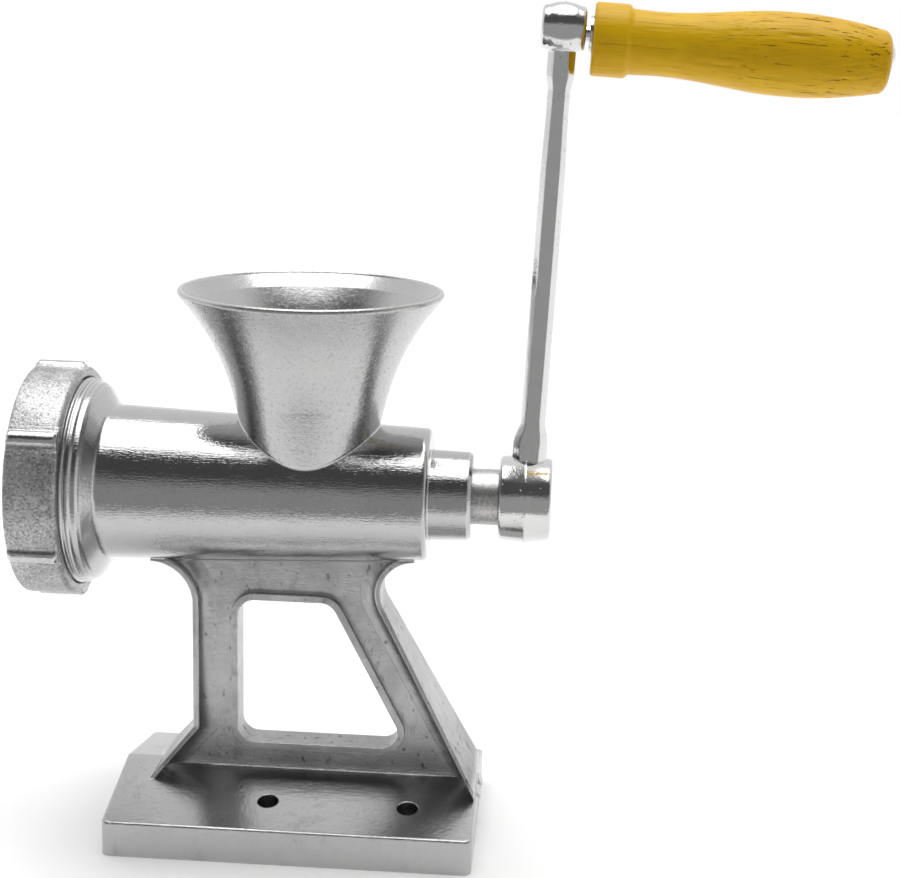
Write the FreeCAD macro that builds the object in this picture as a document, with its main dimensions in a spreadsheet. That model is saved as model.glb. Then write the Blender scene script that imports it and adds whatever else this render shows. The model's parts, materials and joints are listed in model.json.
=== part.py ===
import FreeCAD, Part
import math
import os
from types import SimpleNamespace

import Sketcher

# Hand crank meat grinder on a cast screw-down stand.
# Frame: +X along the barrel from the ring nut to the crank, +Z up, and the origin at the
# centre of the stand's underside.  Lengths are in millimetres and angles in degrees.

DRIVING_SIZES = {
    # stand
    "base_length": 120.0,
    "base_depth": 73.4,
    "base_edge_height": 11.8,
    "base_ridge_height": 19.4,
    "base_corner": 2.5,
    "base_top_round": 1.0,
    "base_wall": 4.0,
    "base_rib": 4.4,
    "base_pocket_depth": 7.5,
    "screw_hole": 3.5,
    "screw_boss": 7.5,
    "screw_centre_x": 15.0,
    "screw_spacing_x": 46.0,
    "screw_spacing_y": 43.0,
    "web_thickness": 6.6,
    "leg_flange": 2.0,
    "leg_draft": 1.5,
    "arch_sink": 0.3,
    "collar_root": 1.2,
    "left_leg_inset": 27.1,
    "left_leg_depth": 16.4,
    "left_knee_z": 34.0,
    "left_foot_slant": 39.8,
    "left_foot_spread": 0.29,
    "left_arch": 13.9,
    "right_arch_inset": 4.0,
    "right_arch": 10.9,
    "right_slant": 28.4,
    "right_leg_depth": 15.4,
    "right_leg_spread": 0.142,
    "left_post": 14.7,
    "right_post": 27.6,
    "window_top_z": 78.5,
    "window_bottom_z": 28.4,
    "window_slant": 28.0,
    "window_corner": 5.6,
    "window_lip_width": 2.4,
    "window_lip_depth": 10.4,
    # barrel
    "axis_height": 115.8,
    "barrel_rear_x": 41.5,
    "barrel_length": 104.3,
    "barrel_front_radius": 25.4,
    "barrel_rear_radius": 21.6,
    "barrel_rear_round": 2.0,
    "bore_wall": 3.6,
    "rear_wall": 5.5,
    "rear_boss_radius": 14.8,
    "rear_boss_length": 13.8,
    "collar_cone": 3.2,
    "collar_length": 18.0,
    "collar_edge": 3.4,
    "collar_wall": 2.6,
    "thread_depth": 0.8,
    "thread_pitch": 2.1,
    "plate_ledge": 3.5,
    "chamber_depth": 8.0,
    "recess_depth": 3.5,
    # hopper
    "hopper_x": 2.0,
    "hopper_rim_height": 181.7,
    "hopper_rim_radius": 42.7,
    "hopper_lip": 1.8,
    "hopper_wall": 2.6,
    "hopper_cone_angle": 13.5,
    "hopper_flare": 78.0,
    "hopper_flare_end": 41.4,
    # plate, knife and nut
    "plate_radius": 31.0,
    "plate_thickness": 5.0,
    "plate_hole": 2.5,
    "key_radius": 1.5,
    "key_length": 7.6,
    "knife_gap": 1.5,
    "knife_thickness": 5.2,
    "knife_hub": 8.6,
    "blade_width": 8.6,
    "nut_wall": 3.6,
    "nut_length": 16.7,
    "nut_lip": 3.0,
    "nut_grip": 3.4,
    "nut_edge": 1.0,
    "nut_rear_edge": 2.0,
    "lug_height": 1.95,
    "lug_angle": 4.0,
    "lug_width": 8.2,
    "lug_crest": 4.2,
    "lug_inset": 0.6,
    # auger and its drive
    "auger_core": 8.6,
    "auger_pitch": 25.0,
    "flight_root": 4.2,
    "flight_tip": 2.6,
    "shaft_radius": 9.1,
    "shaft_reach": 8.5,
    "drive_square": 12.0,
    "drive_length": 10.4,
    "stub_square": 10.4,
    "stub_radius": 5.0,
    "stub_shank": 14.0,
    "thrust_washer_radius": 14.0,
    "thrust_washer_thickness": 2.0,
    # crank
    "crank_boss_radius": 14.6,
    "crank_boss_draft": 0.9,
    "crank_boss_length": 17.0,
    "crank_boss_edge": 1.2,
    "crank_throw": 148.7,
    "crank_lean": 2.2,
    "arm_offset": 0.6,
    "pin_lean": 3.0,
    "pin_drop": 1.2,
    "arm_foot_width": 11.4,
    "arm_width": 8.1,
    "arm_neck_width": 7.0,
    "arm_head_width": 8.6,
    "arm_depth": 9.0,
    "arm_neck_depth": 8.0,
    "pin_boss_radius": 8.0,
    "pin_boss_draft": 0.7,
    "pin_boss_length": 13.5,
    "pin_boss_edge": 1.4,
    "crank_recess": 3.2,
    "crank_washer_radius": 7.2,
    "crank_washer_thickness": 1.2,
    "crank_screw": 3.0,
    "crank_screw_head": 5.4,
    "crank_screw_length": 15.0,
    # grip
    "grip_gap": 2.2,
    "grip_sag": 1.3,
    "grip_length": 89.0,
    "grip_collar_radius": 11.1,
    "grip_collar_length": 10.2,
    "grip_step": 1.4,
    "grip_neck_radius": 9.6,
    "grip_neck_at": 20.0,
    "grip_swell_radius": 12.6,
    "grip_swell_at": 59.0,
    "grip_end_radius": 9.7,
    "grip_end_round": 3.0,
    "grip_edge": 0.9,
    "bolt_radius": 2.45,
    "bolt_head_radius": 5.7,
    "bolt_head_height": 1.9,
    "grip_washer_radius": 5.5,
    "grip_washer_thickness": 1.0,
    # clearances
    "slip": 0.05,
    "turning_gap": 0.4,
    "seat_gap": 0.1,
}

LUG_COUNT = 6
BLADE_COUNT = 4
PLATE_RINGS = (8, 13, 19)
OVERRUN = 2.0
# share of the collar's edge that each of the last thread ridges drops, towards its rounded rear corner
COLLAR_RUN_OUT = (0.0, 0.08, 0.4)


class Size:
    """A value together with the sheet expression that gives it."""

    def __init__(self, value, text):
        self.value = value
        self.text = text

    def __add__(self, other):
        other = as_size(other)
        return Size(self.value + other.value, f"({self.text} + {other.text})")

    def __radd__(self, other):
        return as_size(other) + self

    def __sub__(self, other):
        other = as_size(other)
        return Size(self.value - other.value, f"({self.text} - {other.text})")

    def __rsub__(self, other):
        return as_size(other) - self

    def __mul__(self, other):
        other = as_size(other)
        return Size(self.value * other.value, f"({self.text} * {other.text})")

    def __rmul__(self, other):
        return as_size(other) * self

    def __truediv__(self, other):
        other = as_size(other)
        return Size(self.value / other.value, f"({self.text} / {other.text})")

    def __neg__(self):
        return Size(-self.value, f"(0 - {self.text})")


def as_size(item):
    if isinstance(item, Size):
        return item
    if item < 0:
        return Size(float(item), f"(0 - {-float(item)})")
    return Size(float(item), f"{float(item)}")


def sine(angle):
    return Size(math.sin(math.radians(angle.value)), f"sin({angle.text} * 1 deg)")


def cosine(angle):
    return Size(math.cos(math.radians(angle.value)), f"cos({angle.text} * 1 deg)")


def tangent(angle):
    return Size(math.tan(math.radians(angle.value)), f"tan({angle.text} * 1 deg)")


doc = FreeCAD.newDocument("meat_grinder")
sheet = doc.addObject("Spreadsheet::Sheet", "sizes")
for row, (size_name, number) in enumerate(DRIVING_SIZES.items(), start=1):
    sheet.set(f"A{row}", size_name)
    sheet.set(f"B{row}", str(number))
    sheet.setAlias(f"B{row}", size_name)
doc.recompute()
d = SimpleNamespace(**{name: Size(value, f"sizes.{name}") for name, value in DRIVING_SIZES.items()})

# stations along the barrel, from the crank side to the ring nut
BARREL_FRONT_X = d.barrel_rear_x - d.barrel_length
COLLAR_REAR_X = BARREL_FRONT_X - d.collar_cone
MOUTH_X = COLLAR_REAR_X - d.collar_length
RECESS_X = MOUTH_X + d.recess_depth
CHAMBER_X = RECESS_X + d.chamber_depth
PLATE_FRONT_X = RECESS_X - d.plate_thickness
NUT_SEAT_X = PLATE_FRONT_X - d.slip
NUT_FRONT_X = NUT_SEAT_X - d.nut_lip
KNIFE_FRONT_X = RECESS_X + d.slip
KNIFE_REAR_X = KNIFE_FRONT_X + d.knife_thickness
AUGER_FRONT_X = KNIFE_REAR_X + d.slip
REAR_WALL_X = d.barrel_rear_x - d.rear_wall
LEFT_LEG_X = BARREL_FRONT_X + d.left_leg_inset
RIGHT_ARCH_X = d.barrel_rear_x - d.right_arch_inset
THRUST_X = REAR_WALL_X - d.slip - d.thrust_washer_thickness
AUGER_REAR_X = THRUST_X - d.slip
REAR_BOSS_X = d.barrel_rear_x + d.rear_boss_length
CRANK_X = REAR_BOSS_X + d.shaft_reach
CRANK_END_X = CRANK_X + d.crank_boss_length
CRANK_RECESS_X = CRANK_END_X - d.crank_recess
DRIVE_END_X = CRANK_X + d.drive_length
ARM_X = CRANK_X + d.crank_boss_length / 2 + d.arm_offset
PIN_X = ARM_X + d.crank_throw * sine(d.crank_lean)
PIN_Z = d.axis_height + d.crank_throw * cosine(d.crank_lean) - d.pin_drop
SCREW_HEAD_X = CRANK_RECESS_X + d.crank_washer_thickness

BORE_FRONT_RADIUS = d.barrel_front_radius - d.bore_wall
BORE_REAR_RADIUS = d.barrel_rear_radius - d.bore_wall
SHAFT_BORE = d.shaft_radius + d.slip
PLATE_SEAT = d.plate_radius + d.seat_gap
THREAD_RADIUS = PLATE_SEAT + d.collar_wall
NUT_BORE = THREAD_RADIUS + d.seat_gap
NUT_RADIUS = NUT_BORE + d.nut_wall
NUT_OPENING = d.plate_radius - d.nut_grip
CHAMBER_RADIUS = d.plate_radius - d.plate_ledge
KNIFE_RADIUS = CHAMBER_RADIUS - d.knife_gap
KEY_CENTRE = d.plate_radius - d.key_radius
ZERO = as_size(0)


# ---------------------------------------------------------------- drawing helpers

def bind(thing, prop, size):
    """Ties one property to the sheet."""
    thing.setExpression(prop, size.text)


def origin_plane(body, role):
    return next(item for item in body.Origin.OriginFeatures if item.Role == role)


def new_body(label, x=ZERO, z=ZERO, lean=None):
    """A body whose own frame is moved to (x, 0, z) and turned about Y by lean."""
    body = doc.addObject("PartDesign::Body", label)
    body.Label = label
    if lean is not None:
        body.Placement = FreeCAD.Placement(FreeCAD.Vector(), FreeCAD.Rotation(FreeCAD.Vector(0, 1, 0), 1))
        bind(body, "Placement.Rotation.Angle", lean)
    bind(body, "Placement.Base.x", x)
    bind(body, "Placement.Base.z", z)
    return body


def new_sketch(body, name, role, shift=(ZERO, ZERO, ZERO)):
    """A sketch on one of the body's own planes, with its origin moved by shift."""
    sketch = body.newObject("Sketcher::SketchObject", name)
    sketch.AttachmentSupport = [(origin_plane(body, role), "")]
    sketch.MapMode = "FlatFace"
    for letter, size in zip("xyz", shift):
        bind(sketch, f"AttachmentOffset.Base.{letter}", size)
    return sketch


def arc_centre(start, end, radius, turn):
    """Centre of the short arc from start to end; turn is +1 for anticlockwise, -1 for clockwise."""
    chord = FreeCAD.Vector(end[0] - start[0], end[1] - start[1], 0)
    half = chord.Length / 2
    reach = math.sqrt(max(radius * radius - half * half, 0.0))
    middle = FreeCAD.Vector((start[0] + end[0]) / 2, (start[1] + end[1]) / 2, 0)
    left = FreeCAD.Vector(-chord.y, chord.x, 0).normalize()
    return middle + left * (reach * turn)


def draw(sketch, start, *steps):
    """Draws a closed outline.  A step is a point for a straight side, or (point, radius, turn) for an arc.

    The last side is straight unless the last step is an arc that ends at start itself.
    """
    sides = list(steps)
    if len(sides[-1]) == 2 or sides[-1][0] is not start:
        sides.append(start)
    corners = [start] + [side if len(side) == 2 else side[0] for side in sides[:-1]]
    flat = [(corner[0].value, corner[1].value) for corner in corners]
    count = len(corners)
    ends = []
    for index, side in enumerate(sides):
        begin = flat[index]
        finish = flat[(index + 1) % count]
        if len(side) == 2:
            line = Part.LineSegment(FreeCAD.Vector(*begin, 0), FreeCAD.Vector(*finish, 0))
            ends.append((sketch.addGeometry(line, False), 1, 2))
            continue
        _, radius, turn = side
        centre = arc_centre(begin, finish, radius.value, turn)
        first, last = (begin, finish) if turn > 0 else (finish, begin)
        angles = [math.atan2(point[1] - centre.y, point[0] - centre.x) for point in (first, last)]
        circle = Part.Circle(centre, FreeCAD.Vector(0, 0, 1), radius.value)
        arc = sketch.addGeometry(Part.ArcOfCircle(circle, angles[0], angles[1]), False)
        ends.append((arc, 1, 2) if turn > 0 else (arc, 2, 1))
        rule = sketch.addConstraint(Sketcher.Constraint("Radius", arc, radius.value))
        bind(sketch, f"Constraints[{rule}]", radius)
    for index, (edge, first, last) in enumerate(ends):
        following = ends[(index + 1) % count]
        sketch.addConstraint(Sketcher.Constraint("Coincident", edge, last, following[0], following[1]))
        for kind, size in zip(("DistanceX", "DistanceY"), corners[index]):
            rule = sketch.addConstraint(Sketcher.Constraint(kind, -1, 1, edge, first, size.value))
            bind(sketch, f"Constraints[{rule}]", size)


def draw_circle(sketch, x, y, radius):
    circle = Part.Circle(FreeCAD.Vector(x.value, y.value, 0), FreeCAD.Vector(0, 0, 1), radius.value)
    ring = sketch.addGeometry(circle, False)
    for kind, size in (("DistanceX", x), ("DistanceY", y)):
        rule = sketch.addConstraint(Sketcher.Constraint(kind, -1, 1, ring, 3, size.value))
        bind(sketch, f"Constraints[{rule}]", size)
    rule = sketch.addConstraint(Sketcher.Constraint("Radius", ring, radius.value))
    bind(sketch, f"Constraints[{rule}]", radius)


def turn_profile(body, name, start, *steps, cut=False, axis="H_Axis", role="XZ_Plane", shift=(ZERO,) * 3):
    """Turns an outline about its sketch's axis, as added metal or as a groove."""
    sketch = new_sketch(body, f"{name}_outline", role, shift)
    draw(sketch, start, *steps)
    feature = body.newObject("PartDesign::Groove" if cut else "PartDesign::Revolution", name)
    feature.Profile = sketch
    feature.ReferenceAxis = (sketch, [axis])
    feature.Angle = 360
    return feature


def cylinder_along_x(body, name, x0, x1, radius, cut=False, bore=ZERO):
    """A round bar or hole on the body's own X axis, with a hole of its own when bore is given."""
    return turn_profile(body, name, (x0, bore), (x1, bore), (x1, radius), (x0, radius), cut=cut)


def raise_profile(body, name, role, length, start, *steps, midplane=True, shift=(ZERO,) * 3, cut=False):
    """Pads or pockets an outline; midplane spreads the length to both sides of its plane."""
    sketch = new_sketch(body, f"{name}_outline", role, shift)
    draw(sketch, start, *steps)
    feature = body.newObject("PartDesign::Pocket" if cut else "PartDesign::Pad", name)
    feature.Profile = sketch
    feature.SideType = "Symmetric" if midplane else "One side"
    bind(feature, "Length", length)
    return feature


def combine(kind, label, *pieces):
    """A fuse, common or cut of finished objects."""
    joined = doc.addObject(kind, label)
    joined.Label = label
    if kind == "Part::Cut":
        joined.Base, joined.Tool = pieces
    else:
        joined.Shapes = list(pieces)
    return joined


def rectangle(x0, y0, x1, y1):
    return (x0, y0), (x1, y0), (x1, y1), (x0, y1)


# ---------------------------------------------------------------- body casting

def barrel_radius_at(x):
    share = (x - BARREL_FRONT_X) / d.barrel_length
    return d.barrel_front_radius + (d.barrel_rear_radius - d.barrel_front_radius) * share


def barrel_outside():
    """Threaded collar, tapered barrel and rear boss, turned about the barrel's axis."""
    body = new_body("barrel_outside", z=d.axis_height)
    root = THREAD_RADIUS - d.thread_depth
    start_x = MOUTH_X + d.thread_depth
    ridges = int((COLLAR_REAR_X - start_x).value / d.thread_pitch.value)
    thread = [(start_x, root)]
    for ridge in range(ridges):
        foot = start_x + d.thread_pitch * ridge
        fall = d.collar_edge * COLLAR_RUN_OUT[max(0, ridge - ridges + len(COLLAR_RUN_OUT))]
        thread.append((foot + d.thread_pitch * 0.35, THREAD_RADIUS - fall))
        thread.append((foot + d.thread_pitch * 0.65, THREAD_RADIUS - fall * 1.1))
        thread.append((foot + d.thread_pitch, root - fall * 1.2))
    root_x = BARREL_FRONT_X + d.collar_root
    corner = d.barrel_rear_x - d.barrel_rear_round
    corner_radius = barrel_radius_at(corner)
    turn_profile(
        body, "barrel_turning",
        (MOUTH_X, ZERO),
        (MOUTH_X, root - d.thread_depth),
        *thread,
        (COLLAR_REAR_X, THREAD_RADIUS - d.collar_edge * 0.8),
        (BARREL_FRONT_X - d.collar_root * 0.4, d.barrel_front_radius + d.collar_root),
        ((root_x, barrel_radius_at(root_x)), d.collar_root * 1.6, 1),
        (corner, corner_radius),
        ((d.barrel_rear_x, corner_radius - d.barrel_rear_round), d.barrel_rear_round, -1),
        (d.barrel_rear_x, d.rear_boss_radius + d.slip),
        (d.barrel_rear_x + d.slip, d.rear_boss_radius),
        (REAR_BOSS_X - d.crank_boss_edge, d.rear_boss_radius - d.crank_boss_edge * 0.3),
        (REAR_BOSS_X, d.rear_boss_radius - d.crank_boss_edge * 1.2),
        (REAR_BOSS_X, ZERO),
    )
    return body


def barrel_inside():
    """Plate recess, knife chamber, tapered bore and shaft bearing."""
    body = new_body("barrel_inside", z=d.axis_height)
    turn_profile(
        body, "bore_turning",
        (MOUTH_X - OVERRUN, ZERO),
        (MOUTH_X - OVERRUN, PLATE_SEAT),
        (RECESS_X, PLATE_SEAT),
        (RECESS_X, CHAMBER_RADIUS),
        (CHAMBER_X, CHAMBER_RADIUS),
        (CHAMBER_X, BORE_FRONT_RADIUS),
        (REAR_WALL_X, BORE_REAR_RADIUS),
        (REAR_WALL_X, SHAFT_BORE),
        (REAR_BOSS_X + OVERRUN, SHAFT_BORE),
        (REAR_BOSS_X + OVERRUN, ZERO),
    )
    return body


def hopper_stations():
    """Radius and height where the hopper's cone ends, where its flare ends, and the flare's centre."""
    end_z = d.hopper_rim_height - d.hopper_lip
    end_r = d.hopper_rim_radius - d.hopper_lip * 0.4
    centre_r = end_r + d.hopper_flare * cosine(d.hopper_flare_end)
    centre_z = end_z - d.hopper_flare * sine(d.hopper_flare_end)
    start_r = centre_r - d.hopper_flare * cosine(d.hopper_cone_angle)
    start_z = centre_z + d.hopper_flare * sine(d.hopper_cone_angle)
    return start_r, start_z, end_r, end_z, centre_r, centre_z


def hopper_outside():
    """Cone that flares into the rim, with the rim's rounded lip."""
    body = new_body("hopper_outside", x=d.hopper_x)
    start_r, start_z, end_r, end_z, _, _ = hopper_stations()
    foot_z = d.axis_height
    foot_r = start_r - (start_z - foot_z) * tangent(d.hopper_cone_angle)
    turn_profile(
        body, "hopper_turning",
        (ZERO, foot_z),
        (foot_r, foot_z),
        (start_r, start_z),
        ((end_r, end_z), d.hopper_flare, -1),
        ((d.hopper_rim_radius - d.hopper_lip * 0.5, d.hopper_rim_height), d.hopper_lip * 0.6, 1),
        (ZERO, d.hopper_rim_height),
        axis="V_Axis",
    )
    return body


def hopper_inside():
    """Mouth and throat, one wall inside the outer surface."""
    body = new_body("hopper_inside", x=d.hopper_x)
    start_r, start_z, _, _, centre_r, centre_z = hopper_stations()
    inner_flare = d.hopper_flare + d.hopper_wall
    top_z = d.hopper_rim_height - d.hopper_lip * 0.3
    top_r = d.hopper_rim_radius - d.hopper_lip * 1.1
    bend_r = start_r - d.hopper_wall * cosine(d.hopper_cone_angle)
    bend_z = start_z + d.hopper_wall * sine(d.hopper_cone_angle)
    foot_r = bend_r - (bend_z - d.axis_height) * tangent(d.hopper_cone_angle)
    knee_r = centre_r - inner_flare * cosine(d.hopper_flare_end - 4)
    knee_z = centre_z + inner_flare * sine(d.hopper_flare_end - 4)
    turn_profile(
        body, "throat_turning",
        (ZERO, d.axis_height),
        (foot_r, d.axis_height),
        (bend_r, bend_z),
        ((knee_r, knee_z), inner_flare, -1),
        (top_r, top_z),
        (top_r + d.hopper_lip * 0.3, d.hopper_rim_height + OVERRUN),
        (ZERO, d.hopper_rim_height + OVERRUN),
        axis="V_Axis",
    )
    return body


def window_outline(grow):
    """The stand's window as a rounded four-sided outline, made larger by grow all round."""
    left = LEFT_LEG_X + d.left_post - grow
    top = d.window_top_z + grow
    bottom = d.window_bottom_z - grow
    side = grow / cosine(d.window_slant)
    right_top = RIGHT_ARCH_X - d.right_post + side - grow * tangent(d.window_slant)
    right_bottom = right_top + (top - bottom) * tangent(d.window_slant)
    corner = d.window_corner + grow
    blunt = corner * tangent((90 - d.window_slant) / 2)
    sharp = corner * tangent((90 + d.window_slant) / 2)
    lean_x = sine(d.window_slant)
    lean_z = cosine(d.window_slant)
    return (
        (left, bottom + corner),
        ((left + corner, bottom), corner, 1),
        (right_bottom - sharp, bottom),
        ((right_bottom - sharp * lean_x, bottom + sharp * lean_z), corner, 1),
        (right_top + blunt * lean_x, top - blunt * lean_z),
        ((right_top - blunt, top), corner, 1),
        (left + corner, top),
        ((left, top - corner), corner, 1),
    )


def left_leg_points(inset):
    """Knee, foot and arch points of the left leg's face, moved inwards by inset."""
    slope = tangent(d.left_foot_slant)
    across = inset / cosine(d.left_foot_slant)
    face_x = LEFT_LEG_X + inset
    knee_z = d.left_knee_z - (across - inset) / slope
    foot_z = d.base_edge_height - OVERRUN
    foot_x = face_x - (knee_z - foot_z) * slope
    arch_x = LEFT_LEG_X - d.left_arch
    arch_z = d.axis_height - barrel_radius_at(arch_x) - d.left_arch + d.arch_sink
    arch = d.left_arch + inset
    return SimpleNamespace(
        top=(arch_x, arch_z + arch), arch=arch, shoulder=(face_x, arch_z), knee=(face_x, knee_z),
        foot=(foot_x, foot_z)
    )


def right_leg_points(inset):
    """Foot, shoulder and arch points of the right leg's face, moved inwards by inset."""
    arch = d.right_arch + inset
    arch_z = d.axis_height - barrel_radius_at(RIGHT_ARCH_X) - d.right_arch + d.arch_sink
    shoulder_x = RIGHT_ARCH_X - arch * cosine(d.right_slant)
    shoulder_z = arch_z - arch * sine(d.right_slant)
    foot_z = d.base_edge_height - OVERRUN
    foot_x = shoulder_x + (shoulder_z - foot_z) * tangent(d.right_slant)
    return SimpleNamespace(
        top=(RIGHT_ARCH_X, arch_z + arch), arch=arch, side=(RIGHT_ARCH_X - arch, arch_z),
        shoulder=(shoulder_x, shoulder_z), foot=(foot_x, foot_z)
    )


def drafted(body, name, depth, start, *steps):
    """An outline raised to both sides of the parting plane, narrowing with the casting's draft."""
    feature = raise_profile(body, name, "XZ_Plane", depth, start, *steps)
    bind(feature, "TaperAngle", -d.leg_draft)
    return feature


def leg(label, strip, half_depth, spread, spread_from):
    """One leg: its strip seen from the front, within the depth that widens towards the base."""
    body = new_body(f"{label}_strip")
    widest = half_depth + spread * spread_from
    drafted(body, f"{label}_pad", widest * 2, *strip)
    side = new_body(f"{label}_side")
    foot_z = d.base_edge_height - OVERRUN * 2
    foot_depth = half_depth + spread * (spread_from - foot_z)
    raise_profile(
        side, f"{label}_taper", "YZ_Plane", d.base_length - d.base_top_round,
        (-foot_depth, foot_z),
        (foot_depth, foot_z),
        (half_depth, spread_from),
        (half_depth, d.axis_height),
        (-half_depth, d.axis_height),
        (-half_depth, spread_from),
    )
    return combine("Part::MultiCommon", label, body, side)


def stand_legs():
    outer = left_leg_points(ZERO)
    inner = left_leg_points(d.leg_flange)
    left_strip = (
        outer.top,
        (outer.shoulder, outer.arch, -1),
        outer.knee,
        outer.foot,
        inner.foot,
        inner.knee,
        inner.shoulder,
        (inner.top, inner.arch, 1),
    )
    left = leg("left_leg", left_strip, d.left_leg_depth / 2, d.left_foot_spread, d.left_knee_z)
    outer = right_leg_points(ZERO)
    inner = right_leg_points(d.leg_flange)
    right_strip = (
        outer.top,
        (outer.side, outer.arch, 1),
        (outer.shoulder, outer.arch, 1),
        outer.foot,
        inner.foot,
        inner.shoulder,
        (inner.side, inner.arch, -1),
        (inner.top, inner.arch, -1),
    )
    right = leg("right_leg", right_strip, d.right_leg_depth / 2, d.right_leg_spread, outer.shoulder[1])
    return left, right


def stand_web():
    """Thin wall between the legs, and the raised lip round its window."""
    left = left_leg_points(d.leg_flange / 2)
    right = right_leg_points(d.leg_flange / 2)
    web = new_body("web")
    sunk_z = d.base_edge_height - OVERRUN
    raise_profile(
        web, "web_pad", "XZ_Plane", d.web_thickness,
        left.top,
        (left.shoulder, left.arch, -1),
        left.knee,
        left.foot,
        (d.base_length / 2 - d.base_corner, sunk_z),
        (d.base_length / 2 - d.base_corner, sunk_z + d.leg_flange),
        right.shoulder,
        (right.top, right.arch, -1),
    )
    lip = new_body("window_lip")
    drafted(lip, "lip_pad", d.window_lip_depth, *window_outline(d.window_lip_width))
    window = new_body("window")
    raise_profile(window, "window_pad", "XZ_Plane", d.base_depth, *window_outline(ZERO))
    return web, lip, window


def edges_where(feature, test):
    """Names of the edges whose two ends both pass the test."""
    names = []
    for index, edge in enumerate(feature.Shape.Edges, start=1):
        ends = [vertex.Point for vertex in edge.Vertexes]
        if len(ends) == 2 and all(test(end) for end in ends) and ends[0].distanceToPoint(ends[1]) > 0.1:
            names.append(f"Edge{index}")
    return names


def base_block():
    """Screw-down foot whose top falls from a middle ridge to the front and back edges."""
    body = new_body("base")
    half_y = d.base_depth / 2
    block = raise_profile(
        body, "base_profile", "YZ_Plane", d.base_length,
        (-half_y, ZERO),
        (half_y, ZERO),
        (half_y, d.base_edge_height),
        (ZERO, d.base_ridge_height),
        (-half_y, d.base_edge_height),
        midplane=True,
    )
    doc.recompute()
    half = DRIVING_SIZES["base_depth"] / 2
    upright = [name for name in edges_where(block, lambda end: abs(abs(end.y) - half) < 0.01)
               if abs(block.Shape.getElement(name).tangentAt(0).z) > 0.9]
    corners = body.newObject("PartDesign::Fillet", "base_corners")
    corners.Base = (block, upright)
    bind(corners, "Radius", d.base_corner)
    doc.recompute()
    lowest_top = DRIVING_SIZES["base_edge_height"] - 0.5
    rim = edges_where(corners, lambda end: end.z > lowest_top)
    rounded = body.newObject("PartDesign::Fillet", "base_top_edges")
    rounded.Base = (corners, [name for name in rim if not is_ridge(corners.Shape.getElement(name))])
    bind(rounded, "Radius", d.base_top_round)
    body.Tip = rounded
    return body


def is_ridge(edge):
    return all(abs(vertex.Point.y) < 0.01 for vertex in edge.Vertexes)


def base_hollow():
    """Two shallow pockets under the base, one each side of the middle rib."""
    body = new_body("base_pockets")
    half_x = d.base_length / 2 - d.base_wall
    near = d.base_rib / 2
    far = d.base_depth / 2 - d.base_wall
    for name, low, high in (("front", -far, -near), ("back", near, far)):
        raise_profile(
            body, f"{name}_pocket", "XY_Plane", d.base_pocket_depth + OVERRUN,
            *rectangle(-half_x, low, half_x, high), midplane=False, shift=(ZERO, ZERO, as_size(-OVERRUN)),
        )
    return body


def screw_places():
    """Centres of the four screw holes."""
    half_x = d.screw_spacing_x / 2
    half_y = d.screw_spacing_y / 2
    return [(d.screw_centre_x + half_x * side, half_y * end) for side in (-1, 1) for end in (-1, 1)]


def upright_rounds(label, radius, low, height):
    """One upright round bar at each screw place."""
    body = new_body(label)
    sketch = new_sketch(body, f"{label}_outline", "XY_Plane", (ZERO, ZERO, low))
    for x, y in screw_places():
        draw_circle(sketch, x, y, radius)
    pad = body.newObject("PartDesign::Pad", f"{label}_pad")
    pad.Profile = sketch
    bind(pad, "Length", height)
    return body


def key_hole():
    body = new_body("key_hole", z=d.axis_height - KEY_CENTRE)
    cylinder_along_x(body, "key_hole_turning", RECESS_X - OVERRUN, key_end(), d.key_radius)
    return body


def key_end():
    return MOUTH_X + d.key_length


def body_casting():
    """The one-piece casting: barrel, hopper, stand and foot."""
    web, lip, window = stand_web()
    left, right = stand_legs()
    pocketed = combine("Part::Cut", "base_pocketed", base_block(), base_hollow())
    bosses = upright_rounds("screw_bosses", d.screw_boss, ZERO, d.base_edge_height)
    metal = combine("Part::MultiFuse", "casting_metal", barrel_outside(), hopper_outside(), web, lip,
                    left, right, pocketed, bosses)
    holes = upright_rounds("screw_holes", d.screw_hole, as_size(-OVERRUN), d.base_ridge_height * 2)
    space = combine("Part::MultiFuse", "casting_space",
                    barrel_inside(), hopper_inside(), window, holes, key_hole())
    return combine("Part::Cut", "body_casting", metal, space)


# ---------------------------------------------------------------- parts at the mouth

def plate_key():
    """Pin pressed into the ledge behind the plate, which stops the plate from turning."""
    body = new_body("plate_key", z=d.axis_height - KEY_CENTRE)
    cylinder_along_x(body, "key_pin", MOUTH_X, key_end(), d.key_radius)
    return body


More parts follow.
